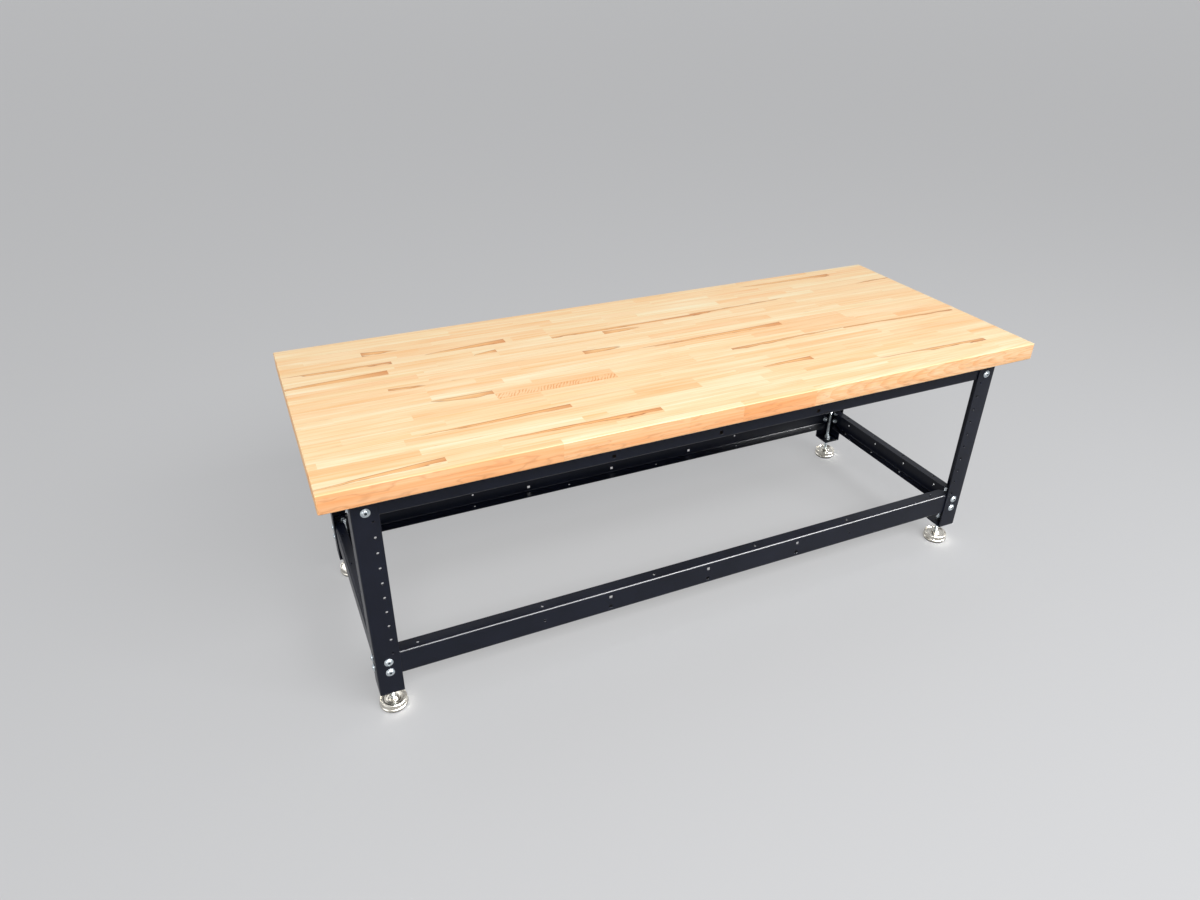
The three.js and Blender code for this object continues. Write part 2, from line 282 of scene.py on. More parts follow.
slashes = add(tree, "ShaderNodeTexWave", {
    "Vector": slanted.outputs["Vector"], "Scale": WAVE_TURN / (STROKE_SPACING_MM * MM),
    "Distortion": 5.5, "Detail": 1,
})
grain["slashes"] = slashes.outputs["Fac"]
print("maple patterns:", len(grain))

# %% [markdown]
# A pattern runs from 0 to 1 with most of it near the middle. The next list says which part of each
# pattern counts and what it becomes: a strength for a glaze, a shift in tone, or a roughness.

# %% Maple pattern strengths
# Pattern, its low and high value, and what these become
STRENGTHS = {
    "uneven": ("cloud", 0.3, 0.7, -0.12, 0.12), "bands": ("band", 0.38, 0.68, 0, 0.75),
    "fibres": ("fibre", 0.4, 0.7, 0, 0.75), "growth": ("rings", 0.4, 1, 0, 0.09),
    "flecks": ("fleck", 0.62, 0.8, 0, 0.3), "strokes": ("slashes", 0.25, 1, 0, 0.75),
    "stroke_area": ("patch", 0.4, 0.6, 0.1, 1), "arched": ("rings", 0.5, 1, 0, 0.3),
    "wander_mm": ("sway", 0.3, 0.7, -3.4, 3.4), "swell": ("sway", 0.3, 0.7, 1.4, 0.6),
    "sheen": ("fibre", 0.2, 0.8, 0.46, 0.6),
}
strength = {}
for name, (source, low, high, to_low, to_high) in STRENGTHS.items():
    limits = {"From Min": low, "From Max": high, "To Min": to_low, "To Max": to_high}
    strength[name] = add(tree, "ShaderNodeMapRange", {"Value": grain[source], **limits}).outputs["Result"]
# Two strengths hold only on some boards
for name, where in (("strokes", fact["curl"].outputs["Fac"]), ("strokes", strength["stroke_area"]),
                    ("arched", fact["arch"].outputs["Fac"])):
    limited = add(tree, "ShaderNodeMath", {0: strength[name], 1: where}, operation="MULTIPLY")
    strength[name] = limited.outputs["Value"]
print("strengths:", len(strength))

# %% [markdown]
# Brown heartwood shows as long, thin wedges: thick where a length was cut at a joint, then thinning
# out and drifting across the stave. A UV map holds millimetres from the joint and from the glue line
# in front. The wedge follows a line from one place across the stave to another, a slow noise makes it
# wander and swell, and it is darkest along its rim and at the joint.

# %% Heartwood wedges
RIM_SOFT_MM = 0.7
RIM_WIDE_MM = 6
TAPER_POWER = 0.55

on_board = add(tree, "ShaderNodeUVMap", uv_map="board_mm")
spot = add(tree, "ShaderNodeSeparateXYZ", {"Vector": on_board.outputs["UV"]})
wedge = add(tree, "ShaderNodeSeparateXYZ", {"Vector": fact["streak_mm"].outputs["Vector"]})
spent = add(tree, "ShaderNodeMath", {0: spot.outputs["X"], 1: fact["streak_run_mm"].outputs["Fac"]},
            operation="DIVIDE", use_clamp=True).outputs["Value"]
left = add(tree, "ShaderNodeMath", {0: 1.0, 1: spent}, operation="SUBTRACT").outputs["Value"]
line = add(tree, "ShaderNodeMapRange", {
    "Value": spent, "To Min": wedge.outputs["X"], "To Max": wedge.outputs["Y"],
})
line = add(tree, "ShaderNodeMath", {0: line.outputs["Result"], 1: strength["wander_mm"]}).outputs["Value"]
off_line = add(tree, "ShaderNodeMath", {0: spot.outputs["Y"], 1: line}, operation="SUBTRACT").outputs["Value"]
off_line = add(tree, "ShaderNodeMath", {0: off_line}, operation="ABSOLUTE").outputs["Value"]
half = add(tree, "ShaderNodeMath", {0: left, 1: TAPER_POWER}, operation="POWER").outputs["Value"]
for factor in (strength["swell"], wedge.outputs["Z"], 0.5):
    half = add(tree, "ShaderNodeMath", {0: half, 1: factor}, operation="MULTIPLY").outputs["Value"]
inside = add(tree, "ShaderNodeMath", {0: half, 1: off_line}, operation="SUBTRACT").outputs["Value"]
to_rim = add(tree, "ShaderNodeMapRange", {"Value": inside, "From Max": RIM_WIDE_MM, "To Min": 1, "To Max": 0})
print("wedge nodes done:", len(tree.nodes))

# %% Board and heartwood colours
BOARD_STOPS = ((0, "#fff2ce"), (0.35, "#ffe7be"), (0.7, "#fdd4a3"), (1, "#f4be86"))
BROWN_STOPS = ((0, "#f4c489"), (0.5, "#efba7c"), (0.7, "#dfa05b"), (0.86, "#b06a30"), (1, "#96521f"))
JOINT_SHARE = 0.75
JOINT_DARKNESS = 0.6
TIP_SHARE = 0.3
TIP_STRENGTH = 0.45
FULL_STRENGTH = 0.85

toned = add(tree, "ShaderNodeMath", {0: fact["tone"].outputs["Fac"], 1: strength["uneven"]})
board = add(tree, "ShaderNodeValToRGB", {"Fac": toned.outputs["Value"]}, BOARD_STOPS)
brown = add(tree, "ShaderNodeValToRGB", {"Fac": to_rim.outputs["Result"]}, BROWN_STOPS)
at_joint = add(tree, "ShaderNodeMapRange", {
    "Value": left, "From Min": JOINT_SHARE, "To Min": 0, "To Max": JOINT_DARKNESS,
})
darkened = add(tree, "ShaderNodeMix", {
    "Factor": at_joint.outputs["Result"], "A": brown.outputs["Color"], "B": linear("#d29a60"),
}, data_type="RGBA", blend_type="MULTIPLY")
shown = add(tree, "ShaderNodeMapRange", {"Value": inside, "From Min": -RIM_SOFT_MM, "From Max": RIM_SOFT_MM})
faded = add(tree, "ShaderNodeMapRange", {
    "Value": left, "From Max": TIP_SHARE, "To Min": TIP_STRENGTH, "To Max": FULL_STRENGTH,
})
mask = add(tree, "ShaderNodeMath", {0: shown.outputs["Result"], 1: faded.outputs["Result"]},
           operation="MULTIPLY")
streaked = add(tree, "ShaderNodeMix", {
    "Factor": mask.outputs["Value"], "A": board.outputs["Color"], "B": darkened.outputs["Result"],
}, data_type="RGBA")
print("heartwood added")

# %% [markdown]
# Each pattern then darkens the board a little with a colour of its own, like thin glazes over one
# another. The long edges of the top show the side of a stave and are pinker, and end grain drinks
# more oil and is darker.

# %% Maple glazes and sheen
FLECK_DEPTH_MM = 0.1
WOOD_IOR = 1.46
GLAZES = [
    (fact["warmth"].outputs["Fac"], "#fff5ec"), (strength["bands"], "#fbe9d2"),
    (strength["fibres"], "#f9e4c9"), (strength["growth"], "#f0cca0"), (strength["flecks"], "#eecba4"),
    (strength["strokes"], "#e9b584"), (strength["arched"], "#f3bd85"),
    (fact["long_edge"].outputs["Fac"], "#fde3d6"), (fact["end_grain"].outputs["Fac"], "#fbe6d4"),
]

colour = streaked.outputs["Result"]
for amount, hex_colour in GLAZES:
    glaze = add(tree, "ShaderNodeMix", {"Factor": amount, "A": colour, "B": linear(hex_colour)},
                data_type="RGBA", blend_type="MULTIPLY")
    colour = glaze.outputs["Result"]
relief = add(tree, "ShaderNodeBump", {
    "Height": grain["fleck"], "Strength": 0.06, "Distance": FLECK_DEPTH_MM * MM,
})
connect(tree, wood, {
    "Base Color": colour, "Roughness": strength["sheen"], "Normal": relief.outputs["Normal"],
    "IOR": WOOD_IOR,
})
print("made", maple.name, "with", len(tree.nodes), "nodes")

# %% [markdown]
# ## The butcher-block top
# Hundreds of separate boards could be modelled, but glued joints have no gap that would show. So the
# top is one closed shell, and its faces know which board they belong to. Its mesh is a grid: a column
# about every 20 mm along the length, and a line at every glue joint across the width. The eased edges
# are small arcs all round. Joints between lengths fall on the columns. The heartwood and the lengths
# that catch the eye in the photograph are listed, in millimetres from the middle of the top; the
# other joints and tones come from seeded dice.

# %% List the boards that catch the eye
# Heartwood: joint x and y, tip x and y, thickness at the joint
STREAKS = [
    (-714, 255, -624, 247, 21), (-632, 203, -602, 208, 22), (-367, 202, -580, 192, 22),
    (-652, 178, -914, 189, 14), (-679, 125, -980, 118, 25), (-406, 147, -468, 142, 19),
    (172, 169, -700, 172, 12), (175, 173, 505, 188, 11), (-108, 147, 0, 150, 22), (-196, 48, -92, 50, 24),
    (-699, 28, -612, 22, 12), (-474, -76, -618, -65, 22), (-344, -203, -686, -209, 14),
    (-166, -298, -540, -288, 15), (-664, -321, -928, -335, 19), (752, 307, 410, 315, 18),
    (912, 212, 780, 206, 12), (375, 23, -60, 17, 20), (150, -80, 521, -66, 13), (890, -83, 150, -57, 9),
    (314, -199, 168, -197, 17), (815, -279, 470, -269, 12),
]
# Lengths by tone: both ends, then the middle across
LENGTHS = {
    "cream": [
        (-434, 60, -23), (-609, -374, -48), (-384, -74, -149), (-696, -330, -274), (-900, -200, -249),
        (-166, 70, -299), (-414, 20, -345), (30, 300, 228), (455, 620, 203), (65, 800, 52), (0, 260, -23),
        (0, 400, -48), (235, 580, -345), (-914, -686, -199), (-914, -600, 102),
    ],
    "peach": [
        (-914, -839, 278), (-574, -234, 228), (-59, 60, 253), (-406, -10, 127), (-914, -614, 2),
        (-914, -614, -23), (-914, -384, -149), (-664, -540, -324), (-334, -234, 203), (-652, -464, 152),
        (70, 580, -324), (430, 914, -174), (-60, 375, 27), (175, 505, 178), (-214, 30, -98),
        (150, 521, -73), (521, 890, -73), (-234, 172, 178), (540, 733, -199), (268, 480, -249),
    ],
    "tan": [
        (-534, -198, 278), (-914, -614, 77), (-624, -434, -23), (-474, -184, -73), (-677, -384, -124),
        (-174, -14, -199), (-718, -29, -224), (-914, -696, -274), (-536, -166, -299), (-914, -414, -345),
        (755, 914, 303), (0, 270, 77), (375, 580, 27), (260, 590, -23), (400, 620, -48), (715, 914, -48),
        (300, 595, -124), (620, 914, -149), (820, 914, -224), (375, 580, 2),
    ],
}
TONES = {"cream": (0.0, 0.1), "plain": (0.12, 0.42), "peach": (0.32, 0.44), "tan": (0.5, 0.64)}
CURLED = (-474, -184, -98)
CURLED_TONE = 0.52
ARCHED = (227, 914, -345)
print("heartwood wedges:", len(STREAKS), "named lengths:", sum(map(len, LENGTHS.values())))

# %% Lay out the strips
STRIP_MM = 25.1
FIRST_STRIP_MM = 18.6
COLUMNS = 92
SHORTEST_COLUMNS = 9
LONGEST_COLUMNS = 30
CLEAR_COLUMNS = 3
BOARD_SEED = 28

dice = random.Random(BOARD_SEED)
top_low, top_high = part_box("butcher_block_top")
column_step = (top_high.x - top_low.x) / COLUMNS
glue_lines = []
while not glue_lines or glue_lines[-1] + STRIP_MM * MM < top_high.y:
    glue_lines.append(top_low.y + (FIRST_STRIP_MM + STRIP_MM * len(glue_lines)) * MM)
strip_sides = [top_low.y, *glue_lines, top_high.y]
STRIPS = len(strip_sides) - 1


def column_at(x_mm):
    return max(0, min(COLUMNS, round((x_mm * MM - top_low.x) / column_step)))


def strip_at(y_mm):
    return sum(line < y_mm * MM for line in glue_lines)


def lay_strip(strip):
    named = [span for group in LENGTHS.values() for span in group]
    spans = [(start, end) for start, end, y in (*named, CURLED, ARCHED) if strip_at(y) == strip]
    cuts = {0, COLUMNS, *(column_at(x) for span in spans for x in span)}
    for joint, y, tip, _, _ in STREAKS:
        if strip_at(y) == strip:
            spans.append((joint, tip))
            cuts.add(column_at(joint))
    taken = [sorted((column_at(start), column_at(end))) for start, end in spans]
    at = dice.randint(CLEAR_COLUMNS, LONGEST_COLUMNS)
    while at < COLUMNS - CLEAR_COLUMNS:
        if not any(low - CLEAR_COLUMNS < at < high + CLEAR_COLUMNS for low, high in taken):
            cuts.add(at)
        at += dice.randint(SHORTEST_COLUMNS, LONGEST_COLUMNS)
    return sorted(cuts)


print("strips:", STRIPS, "column mm:", round(column_step / MM, 2))

# %% [markdown]
# A sawn length is told by where it lay in its log: how far from the pith, how far it was rolled, how
# much it leans, and a shift along the log so that no two lengths show the same grain.

# %% Describe and lay each length
PITH_MM = (30, 160)
MOST_LEAN = 0.015
MOST_SHIFT_M = 40
ARCHED_PITH_MM = 105
ARCHED_LEAN = -0.1


def listed(spans, strip, start, end):
    here = [(column_at(low), column_at(high)) for low, high, y in spans if strip_at(y) == strip]
    return any(low <= start and end <= high for low, high in here)


def describe_length(strip, start, end):
    facts = {"tone": dice.uniform(*TONES["plain"]), "warmth": dice.random() ** 2}
    for name, group in LENGTHS.items():
        if listed(group, strip, start, end):
            facts["tone"] = dice.uniform(*TONES[name])
    facts["roll"] = dice.uniform(0, 2 * math.pi)
    facts["from_pith"] = dice.uniform(*PITH_MM) * MM
    facts["lean"] = dice.uniform(-MOST_LEAN, MOST_LEAN)
    facts["shift"] = dice.uniform(0, MOST_SHIFT_M)
    facts["curl"] = float(listed([CURLED], strip, start, end))
    if facts["curl"]:
        facts.update(roll=0.0, tone=CURLED_TONE)
    if listed([ARCHED], strip, start, end):
        facts.update(roll=0.0, from_pith=ARCHED_PITH_MM * MM, lean=ARCHED_LEAN, shift=0.0)
    facts.update(zero=start, streak=(0.0, 0.0, 0.0), run=1.0)
    for joint, y, tip, tip_y, thick in STREAKS:
        at = column_at(joint)
        if strip_at(y) == strip and at == (start if tip > joint else end):
            front = strip_sides[strip] / MM
            facts.update(zero=at, streak=(y - front, tip_y - front, thick), run=abs(tip - joint))
    return facts


boards = []
for strip in range(STRIPS):
    cuts = lay_strip(strip)
    row = [None] * COLUMNS
    for start, end in zip(cuts, cuts[1:]):
        facts = describe_length(strip, start, end)
        for column in range(start, end):
            row[column] = facts
    boards.append(row)
print("lengths laid:", sum(len({id(f) for f in row}) for row in boards))

# %% [markdown]
# The shell is a stack of rings, one for each column, like the ribs of a boat. Near both ends the
# rings shrink along a quarter circle, which eases the end edges too.

# %% Outline of a ring
EASE_MM = 3.0
EASE_STEPS = 4
SMALLEST_ARC_MM = 0.2


def ring_points(inset):
    low_y, high_y = top_low.y + inset, top_high.y - inset
    low_z, high_z = top_low.z + inset, top_high.z - inset
    arc = max(EASE_MM * MM - inset, SMALLEST_ARC_MM * MM)
    corners = [(high_y - arc, low_z + arc, -90), (high_y - arc, high_z - arc, 0),
               (low_y + arc, high_z - arc, 90), (low_y + arc, low_z + arc, 180)]
    arcs = []
    for y, z, start in corners:
        turn = [math.radians(start + 90 * k / EASE_STEPS) for k in range(EASE_STEPS + 1)]
        arcs.append([(y + arc * math.cos(a), z + arc * math.sin(a)) for a in turn])
    bottom = [(y, low_z) for y in glue_lines]
    top = [(y, high_z) for y in reversed(glue_lines)]
    return bottom + arcs[0] + arcs[1] + top + arcs[2] + arcs[3]


print("points in a ring:", len(ring_points(0)))

# %% Build the top
def skin_rows(shape, rows):
    faces = []
    for near, far in zip(rows, rows[1:]):
        for i in range(len(near)):
            j = (i + 1) % len(near)
            faces.append(shape.faces.new((near[i], near[j], far[j], far[i])))
    return faces


ease = [math.radians(90 * k / EASE_STEPS) for k in range(EASE_STEPS + 1)]
eased = [(EASE_MM * MM * (1 - math.sin(a)), EASE_MM * MM * (1 - math.cos(a))) for a in ease]
stations = [(top_low.x + along, inset) for along, inset in reversed(eased)]
stations += [(top_low.x + column_step * c, 0.0) for c in range(1, COLUMNS)]
stations += [(top_high.x - along, inset) for along, inset in eased]

shell = bmesh.new()
rings_of_top = [[shell.verts.new((x, y, z)) for y, z in ring_points(inset)] for x, inset in stations]
skin_rows(shell, rings_of_top)
inner = STRIPS - 1
arc_size = EASE_STEPS + 1
for ring in (rings_of_top[0], rings_of_top[-1]):
    for i in range(inner - 1):
        top_i = inner + 2 * arc_size + (inner - 1 - i)
        shell.faces.new((ring[i], ring[i + 1], ring[top_i - 1], ring[top_i]))
    back = ring[inner - 1:inner + 2 * arc_size + 1]
    front = ring[2 * inner + 2 * arc_size - 1:] + [ring[0]]
    shell.faces.new(back)
    shell.faces.new(front)
bmesh.ops.recalc_face_normals(shell, faces=shell.faces)
print("top faces:", len(shell.faces))

# %% [markdown]
# A face of a mesh can carry numbers of its own, called attributes, and so can each of its corners. So
# every face is told about the length that it belongs to, and every corner where in the log it lay. A
# long edge of the top is the side of one stave. It is made of three lengths with tones of their
# own, and the rings of the one on the right show as arches.

# %% Write the boards into the mesh
# Where a length of the edge starts, from the right, and its tone
EDGE_TONES = ((ARCHED[0], 0.06), (-110, 0.62), (-1000, 0.5))
END_FACING = 0.7
EDGE_FACING = 0.95

names = ("tone", "warmth", "curl", "arch", "streak_run_mm", "long_edge", "end_grain")
layers = {name: shell.faces.layers.float.new(name) for name in names}
streak_layer = shell.faces.layers.float_vector.new("streak_mm")
log_layer = shell.loops.layers.float_vector.new("log_place")
uv_layer = shell.loops.layers.uv.new("board_mm")
middle_z = (top_low.z + top_high.z) / 2


def place_in_log(spot, middle_y, facts):
    turn, y, z = facts["roll"], spot.y - middle_y, spot.z - middle_z
    out = facts["from_pith"] + math.cos(turn) * y + math.sin(turn) * z + facts["lean"] * spot.x
    return (spot.x + facts["shift"], out, math.cos(turn) * z - math.sin(turn) * y)


for face in shell.faces:
    centre = face.calc_center_median()
    face.normal_update()
    strip = strip_at(centre.y / MM)
    column = max(0, min(COLUMNS - 1, int((centre.x - top_low.x) / column_step)))
    facts = boards[strip][column]
    middle_y = (strip_sides[strip] + strip_sides[strip + 1]) / 2
    at_end = abs(face.normal.x) > END_FACING
    on_edge = abs(face.normal.y) > EDGE_FACING
    tone = facts["tone"]
    arch = on_edge and centre.x > ARCHED[0] * MM
    if on_edge:
        tone = next(shade for start, shade in EDGE_TONES if centre.x > start * MM)
    values = (tone, facts["warmth"], facts["curl"], arch, facts["run"], on_edge, at_end)
    for name, value in zip(names, values):
        face[layers[name]] = float(value)
    face[streak_layer] = (0.0, 0.0, 0.0) if on_edge or at_end else facts["streak"]
    for loop in face.loops:
        spot = loop.vert.co
        zero_x = top_low.x + column_step * facts["zero"]
        from_line = spot.y - strip_sides[strip]
        loop[log_layer] = place_in_log(spot, middle_y, facts)
        loop[uv_layer].uv = (abs(spot.x - zero_x) / MM, from_line / MM)
print("faces on the long edges:", sum(face[layers["long_edge"]] > 0 for face in shell.faces))

# %% [markdown]
# Every piece is finished in the same two steps: its mesh gets smooth shading with sharp corners and a
# material, and its object is put in place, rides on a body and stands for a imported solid.

# %% Finish the top
def finish_mesh(name, shape, material, smooth_deg=30):
    mesh = bpy.data.meshes.new(name)
    shape.to_mesh(mesh)
    shape.free()
    mesh.shade_smooth()
    mesh.set_sharp_from_angle(angle=math.radians(smooth_deg))
    mesh.materials.append(material)
    return mesh


def show(name, mesh, body, matrix=None, node=None):
    piece = bpy.data.objects.new(name, mesh)
    bpy.context.scene.collection.objects.link(piece)
    piece.matrix_world = matrix or Matrix.Identity(4)
    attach(piece, body)
    if node:
        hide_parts(node)
    return piece


top_mesh = finish_mesh("maple_top", shell, maple, smooth_deg=40)
maple_top = show("maple_top", top_mesh, "frame", node="butcher_block_top")
print("top size mm:", [round(v / MM, 1) for v in top_high - top_low])

# %% [markdown]
# ## Bent sheet metal
# Legs, stringers and rails are strips of sheet with punched holes, bent on a press brake. A bend has
# a real radius, and that radius is what shows as the bright line along each edge. So a profile with
# true arcs is drawn, pulled out to its length, and punched with one boolean. A small bevel modifier
# then breaks the cut edges, as the powder does when it flows round them. A plane with a Solidify
# modifier would be quicker, but its corners would be sharp. From here on, sizes are in millimetres.

# %% Profiles and prisms
BEND_STEPS = 8


def arc_points(centre, radius, start_deg, end_deg):
    turn = [math.radians(start_deg + (end_deg - start_deg) * k / BEND_STEPS) for k in range(BEND_STEPS + 1)]
    return [(centre[0] + radius * math.cos(a), centre[1] + radius * math.sin(a)) for a in turn]


def pull_profile(points, start, end, axis):
    shape = bmesh.new()
    order = {"x": (2, 0, 1), "z": (0, 1, 2)}[axis]
    sides = []
    for far in (start, end):
        raw = [(p, q, far) for p, q in points]
        sides.append([shape.verts.new([v[k] * MM for k in order]) for v in raw])
    skin_rows(shape, sides)
    shape.faces.new(sides[0])
    shape.faces.new(sides[1])
    bmesh.ops.recalc_face_normals(shape, faces=shape.faces)
    return shape


def add_prism(shape, corners, along, low, high):
    axes = {"x": (1, 2, 0), "y": (0, 2, 1), "z": (0, 1, 2)}[along]
    ends = []
    for level in (low, high):
        loop = []
        for a, b in corners:
            spot = [0, 0, 0]
            spot[axes[0]], spot[axes[1]], spot[axes[2]] = a * MM, b * MM, level * MM
            loop.append(shape.verts.new(spot))
        ends.append(loop)
    made = [shape.faces.new(ends[0]), shape.faces.new(ends[1]), *skin_rows(shape, ends)]
    bmesh.ops.recalc_face_normals(shape, faces=made)


print("bend steps:", BEND_STEPS)

# %% Outlines to punch
def circle(centre, diameter, sides=24):
    turn = [2 * math.pi * (k + 0.5) / sides for k in range(sides)]
    return [(centre[0] + diameter / 2 * math.cos(a), centre[1] + diameter / 2 * math.sin(a)) for a in turn]


def rectangle(centre, size_x, size_y):
    signs = ((-1, -1), (1, -1), (1, 1), (-1, 1))
    return [(centre[0] + size_x / 2 * a, centre[1] + size_y / 2 * b) for a, b in signs]


print("corners of a round hole:", len(circle((0, 0), 1)))

# %% [markdown]
# A boolean cuts or joins two shapes. It can leave slivers thinner than a hair where faces nearly meet,
# so these are dissolved.

# %% Punch, combine and soften
PUNCH_REACH = 5
SLIVER_MM = 0.005
BREAK_FROM_DEG = 50


def punch(tools, outline, along, level=0):
    add_prism(tools, outline, along, level - PUNCH_REACH, level + PUNCH_REACH)


def combine(shape, other, operation):
    objects = []
    for label, each in (("body", shape), ("tool", other)):
        mesh = bpy.data.meshes.new(label)
        each.to_mesh(mesh)
        each.free()
        made = bpy.data.objects.new(label, mesh)
        bpy.context.scene.collection.objects.link(made)
        objects.append(made)
    body, tool = objects
    modifier = body.modifiers.new("cut", "BOOLEAN")
    modifier.operation = operation
    modifier.solver = "EXACT"
    modifier.object = tool
    graph = bpy.context.evaluated_depsgraph_get()
    result = bmesh.new()
    result.from_mesh(body.evaluated_get(graph).to_mesh())
    bmesh.ops.dissolve_degenerate(result, dist=SLIVER_MM * MM, edges=result.edges)
    for made in objects:
        mesh = made.data
        bpy.data.objects.remove(made)
        bpy.data.meshes.remove(mesh)
    return result


def soften(piece, width_mm):
    bevel = piece.modifiers.new("broken_edges", "BEVEL")
    bevel.width = width_mm * MM
    bevel.segments = 2
    bevel.limit_method = "ANGLE"
    bevel.angle_limit = math.radians(BREAK_FROM_DEG)
    bevel.harden_normals = True


print("punch length mm:", 2 * PUNCH_REACH)

# %% [markdown]
# ## Legs
# Each leg is an L with a column of ten small holes and four bolt holes in either face. The corner of
# the L is the origin of the mesh, so the same leg serves all four corners with quarter turns.

# %% Leg sizes
LEG_FACE = 56
LEG_SHEET = 3
LEG_BEND = 5.5
EDGE_BREAK = 0.5
HOLE = 6
HOLE_COUNT = 10
BOLT_HOLE = 9.4
HOLE_FROM_CORNER = 41.8
HOLE_LOWEST = 180.3
HOLE_PITCH = 39.47
BOLT_FROM_CORNER = 29.3
BOLT_HEIGHTS = {"top": 560.5, "mid": 158, "low": 128}
HIDDEN_BOLT = 590
CORNERS = {"front_left": 0, "front_right": 1, "back_right": 2, "back_left": 3}

print("bolts on a leg face:", len(BOLT_HEIGHTS) + 1)

# %% Place a corner
def corner_matrix(corner):
    low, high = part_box("leg_" + corner)
    quarter = CORNERS[corner]
    x = low.x if quarter in (0, 3) else high.x
    y = low.y if quarter in (0, 1) else high.y
    return Matrix.Translation((x, y, 0)) @ Matrix.Rotation(quarter * math.pi / 2, 4, "Z")


print("front left corner mm:", [round(v / MM, 1) for v in corner_matrix("front_left").translation])

# %% Make the legs
leg_low, leg_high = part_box("leg_front_left")


def leg_shape():
    bend = (LEG_BEND, LEG_BEND)
    outline = [(LEG_FACE, 0), (LEG_FACE, LEG_SHEET)]
    outline += arc_points(bend, LEG_BEND - LEG_SHEET, 270, 180)
    outline += [(LEG_SHEET, LEG_FACE), (0, LEG_FACE)]
    outline += arc_points(bend, LEG_BEND, 180, 270)
    body = pull_profile(outline, leg_low.z / MM, leg_high.z / MM, "z")
    tools = bmesh.new()
    holes = [(HOLE_FROM_CORNER, HOLE_LOWEST + HOLE_PITCH * k, HOLE) for k in range(HOLE_COUNT)]
    holes += [(BOLT_FROM_CORNER, z, BOLT_HOLE) for z in (HIDDEN_BOLT, *BOLT_HEIGHTS.values())]
    for across, z, size in holes:
        for along in "yx":
            punch(tools, circle((across, z), size), along)
    return combine(body, tools, "DIFFERENCE")


leg_mesh = finish_mesh("leg", leg_shape(), powder_coat)
for corner in CORNERS:
    node = "leg_" + corner
    piece = show("bent_" + node, leg_mesh.copy(), "frame", corner_matrix(corner), node)
    soften(piece, EDGE_BREAK)
print("leg faces:", len(leg_mesh.polygons))

# %% [markdown]
# ## Stringers and rails
# All eight are C channels that open inwards, with their flanges clipped at 45 degrees at both ends
# so that the screw feet can pass. Each has holes in its upper flange, for a shelf or for the screws
# of the top, and the lower four have them in the lower flange and the web too. The long ones also
# have square holes at three stations for drawers and dividers, in pairs below and single above.

# %% Channel sizes
CHANNEL_SHEET = 2.5
CHANNEL_BEND = 5.2
LONG_FLANGE = 34
SHORT_FLANGE = 26
CLIP_BEYOND_FLANGE = 21
CLEARANCE = 10
END_GAP = 9
WEB_FACE = 3.3
LONG_FROM_WEB = 17
SHORT_FROM_WEB = 10.8
LONG_HOLES = [-752, -451.2, -150.4, 150.4, 451.2, 752]
LONG_WEB_HOLES = [-451.2, 451.2]
SHORT_HOLES = [-200.4, -66.8, 66.8, 200.4]
STATIONS = [-277, 0, 277]
STATION_HOLE = 8.5

print("flanges mm:", LONG_FLANGE, SHORT_FLANGE)

# %% Channel shape
def channel_shape(is_long, half, height, bottom, bolts, is_lower):
    far = LONG_FLANGE if is_long else SHORT_FLANGE
    from_web = LONG_FROM_WEB if is_long else SHORT_FROM_WEB
    bend, sheet = CHANNEL_BEND, CHANNEL_SHEET
    outline = [(far, 0), (far, sheet)]
    outline += arc_points((bend, bend), bend - sheet, 270, 180)
    outline += arc_points((bend, height - bend), bend - sheet, 180, 90)
    outline += [(far, height - sheet), (far, height)]
    outline += arc_points((bend, height - bend), bend, 90, 180)
    outline += arc_points((bend, bend), bend, 180, 270)
    body = pull_profile(outline, END_GAP - half, half - END_GAP, "x")
    tools = bmesh.new()
    start = half - far - CLIP_BEYOND_FLANGE
    past_end, past_flange = half + CLEARANCE, far + CLEARANCE
    wedge = [(start - CLEARANCE, past_flange), (start + far - bend, bend),
             (past_end, bend), (past_end, past_flange)]
    for side in (-1, 1):
        add_prism(tools, [(side * x, y) for x, y in wedge], "z", -CLEARANCE, height + CLEARANCE)
    for x in LONG_HOLES if is_long else SHORT_HOLES:
        punch(tools, circle((x, from_web), HOLE), "z", height)
        if is_lower:
            punch(tools, circle((x, from_web), HOLE), "z")
    if is_lower:
        for x in LONG_WEB_HOLES if is_long else SHORT_HOLES:
            punch(tools, circle((x, height / 2), HOLE), "y")
    for z in bolts:
        for side in (-1, 1):
            punch(tools, circle((side * (half - BOLT_FROM_CORNER), z - bottom), BOLT_HOLE), "y")
        for x in STATIONS if is_long and z != HIDDEN_BOLT else []:
            punch(tools, rectangle((x, z - bottom), STATION_HOLE, STATION_HOLE), "y")
    return combine(body, tools, "DIFFERENCE")


print("holes in a long flange:", len(LONG_HOLES), "in a short one:", len(SHORT_HOLES))

# %% [markdown]
# One mesh is made for each of the four kinds. A quarter turn for each side of the frame then brings it
# to its place, as for the legs.

# %% Make the channels
SIDES = {"front": 0, "right": 1, "back": 2, "left": 3}
BOLTS_OF = {
    "lower_stringer": (BOLT_HEIGHTS["mid"], BOLT_HEIGHTS["low"]),
    "upper_rail": (BOLT_HEIGHTS["top"], HIDDEN_BOLT),
}

frame_low = Vector(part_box("leg_front_left")[0])
frame_high = Vector(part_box("leg_back_right")[1])
frame_middle = (frame_low + frame_high) / 2


def side_matrix(side, bottom):
    quarter = SIDES[side]
    turn = Matrix.Rotation(quarter * math.pi / 2, 4, "Z")
    spots = [(frame_middle.x, frame_low.y), (frame_high.x, frame_middle.y),
             (frame_middle.x, frame_high.y), (frame_low.x, frame_middle.y)]
    x, y = spots[quarter]
    return Matrix.Translation((x, y, bottom * MM)) @ turn @ Matrix.Translation((0, WEB_FACE * MM, 0))


